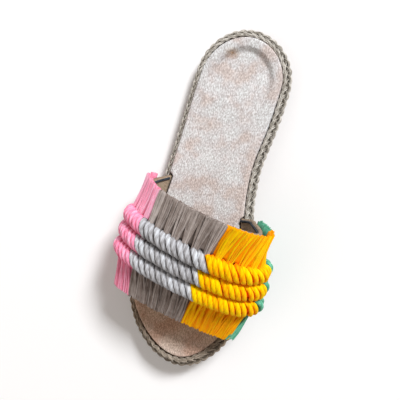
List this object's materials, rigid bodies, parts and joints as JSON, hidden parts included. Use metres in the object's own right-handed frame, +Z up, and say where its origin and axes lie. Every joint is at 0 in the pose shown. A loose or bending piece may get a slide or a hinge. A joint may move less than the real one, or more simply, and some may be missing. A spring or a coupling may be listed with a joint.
{
  "type": "macrame slipper",
  "caption": "Flat slide slipper for a right foot: linen footbed with a plaited jute edge, and an arched strap covered with knotted cotton bars and fringes in pink, grey, yellow and green.",
  "frame": {"origin": "on the floor, under the middle of the slipper's bounding box", "axes": "+Z up, +Y from toe to heel along the foot, +X to the inner side of the foot"},
  "size_m": [0.1148, 0.2556, 0.0913],
  "materials": {
    "outsole": "matte",
    "jute": "plaited",
    "linen": "woven",
    "strap_cloth": "woven",
    "cotton_pink": "soft",
    "cotton_grey": "soft",
    "cotton_yellow": "soft",
    "cotton_green": "soft"
  },
  "bodies": {
    "root": {"outsole": "outsole", "braid_edge": "jute", "insole": "linen", "strap": "strap_cloth", "knot_bar_1_pink": "cotton_pink", "knot_bar_2_pink": "cotton_pink", "knot_bar_3_pink": "cotton_pink", "fringe_back_pink": "cotton_pink", "fringe_front_pink": "cotton_pink", "knot_bar_1_grey": "cotton_grey", "knot_bar_2_grey": "cotton_grey", "knot_bar_3_grey": "cotton_grey", "fringe_back_grey": "cotton_grey", "fringe_front_grey": "cotton_grey", "knot_bar_1_yellow": "cotton_yellow", "knot_bar_2_yellow": "cotton_yellow", "knot_bar_3_yellow": "cotton_yellow", "fringe_back_yellow": "cotton_yellow", "fringe_front_yellow": "cotton_yellow", "knot_bar_1_green": "cotton_green", "knot_bar_2_green": "cotton_green", "knot_bar_3_green": "cotton_green", "fringe_back_green": "cotton_green", "fringe_front_green": "cotton_green"}
  },
  "joints": []
}
